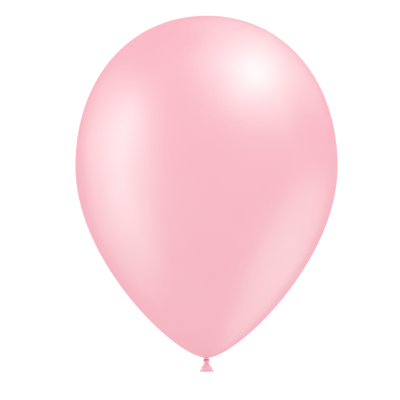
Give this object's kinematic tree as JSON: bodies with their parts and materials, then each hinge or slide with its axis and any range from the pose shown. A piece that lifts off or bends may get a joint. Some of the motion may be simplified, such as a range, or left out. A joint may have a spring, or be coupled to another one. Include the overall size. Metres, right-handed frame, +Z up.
{
  "type": "latex balloon",
  "caption": "Inflated pink latex party balloon with a gathered neck, an overhand knot and a short flared tail with a rolled lip; the neck turns and bends and the tail folds.",
  "frame": {"origin": "middle of the neck, between the envelope and the knot, where a ribbon is tied", "axes": "+Z up the balloon's axis to the crown, X across the wide way of the tail's oval mouth, Y across its narrow way"},
  "size_m": [0.3, 0.2998, 0.4074],
  "materials": {
    "stretched_latex": "satin",
    "gathered_latex": "satin",
    "tail_latex": "satin"
  },
  "bodies": {
    "envelope": {"envelope": "stretched_latex", "throat": "gathered_latex"},
    "neck": {"neck": "gathered_latex"},
    "knot": {"knot_core": "gathered_latex", "knot_loop": "gathered_latex"},
    "tail": {"tail_root": "tail_latex", "tail_skirt": "tail_latex", "rolled_lip": "tail_latex"}
  },
  "joints": [
    {"name": "neck_twist", "type": "hinge", "parent": "envelope", "child": "neck", "pos_m": [0, 0, 0], "axis": [0, 0, 1], "range_deg": [-180, 180], "stiffness_Nm_per_rad": 0.00002},
    {"name": "neck_swing", "type": "hinge", "parent": "neck", "child": "knot", "pos_m": [0, 0, 0], "axis": [0, 1, 0], "range_deg": [-30, 30], "stiffness_Nm_per_rad": 0.00005},
    {"name": "tail_fold", "type": "hinge", "parent": "knot", "child": "tail", "pos_m": [0, 0, -0.0059], "axis": [1, 0, 0], "range_deg": [-60, 60], "stiffness_Nm_per_rad": 0.00005}
  ]
}
